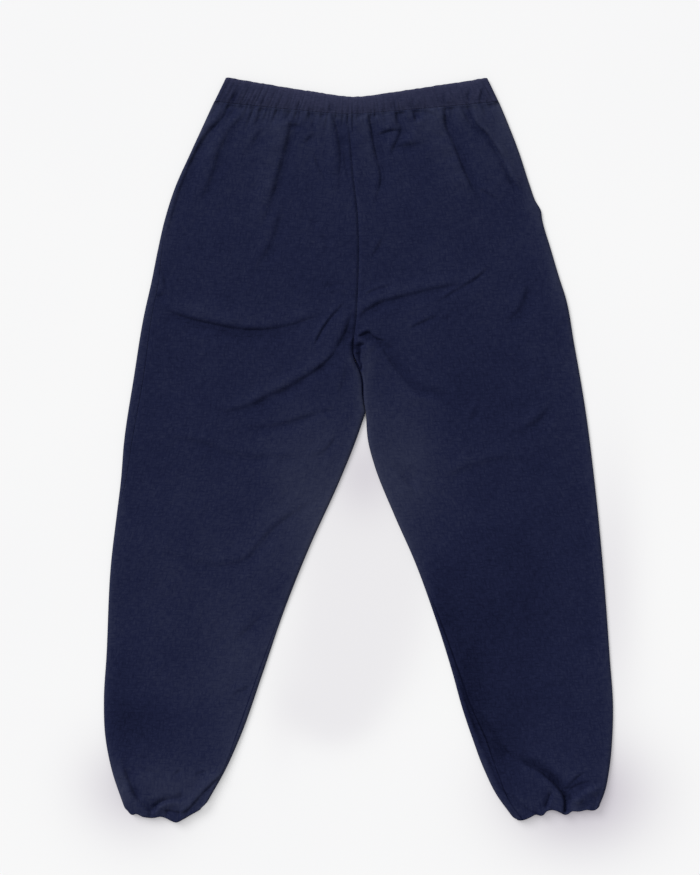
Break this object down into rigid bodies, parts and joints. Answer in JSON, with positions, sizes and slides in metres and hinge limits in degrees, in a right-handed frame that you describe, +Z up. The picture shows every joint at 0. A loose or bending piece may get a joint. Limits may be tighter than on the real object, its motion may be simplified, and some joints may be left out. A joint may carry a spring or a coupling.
{
  "type": "monpe trousers",
  "caption": "Gathered navy cotton monpe work trousers laid flat, with an elastic waist, side pockets and elastic ankles.",
  "frame": {"origin": "centre of the bounding box's underside, on the surface that the trousers lie on", "axes": "+Z up out of the front of the trousers, +Y towards the waist, +X towards the wearer's left leg"},
  "size_m": [0.6319, 0.9213, 0.0135],
  "materials": {
    "indigo_cotton": "matt plain-woven slub cotton",
    "casing_cotton": "matt plain-woven slub cotton, worn a little lighter",
    "pocket_cotton": "matt plain-woven cotton",
    "elastic": "woven elastic tape"
  },
  "bodies": {
    "root": {"right_front_leg": "indigo_cotton", "left_front_leg": "indigo_cotton", "right_back_leg": "indigo_cotton", "left_back_leg": "indigo_cotton", "waist_casing": "casing_cotton", "waist_elastic": "elastic", "right_ankle_casing": "casing_cotton", "left_ankle_casing": "casing_cotton", "right_ankle_elastic": "elastic", "left_ankle_elastic": "elastic", "right_pocket_bag": "pocket_cotton", "left_pocket_bag": "pocket_cotton"}
  },
  "joints": []
}
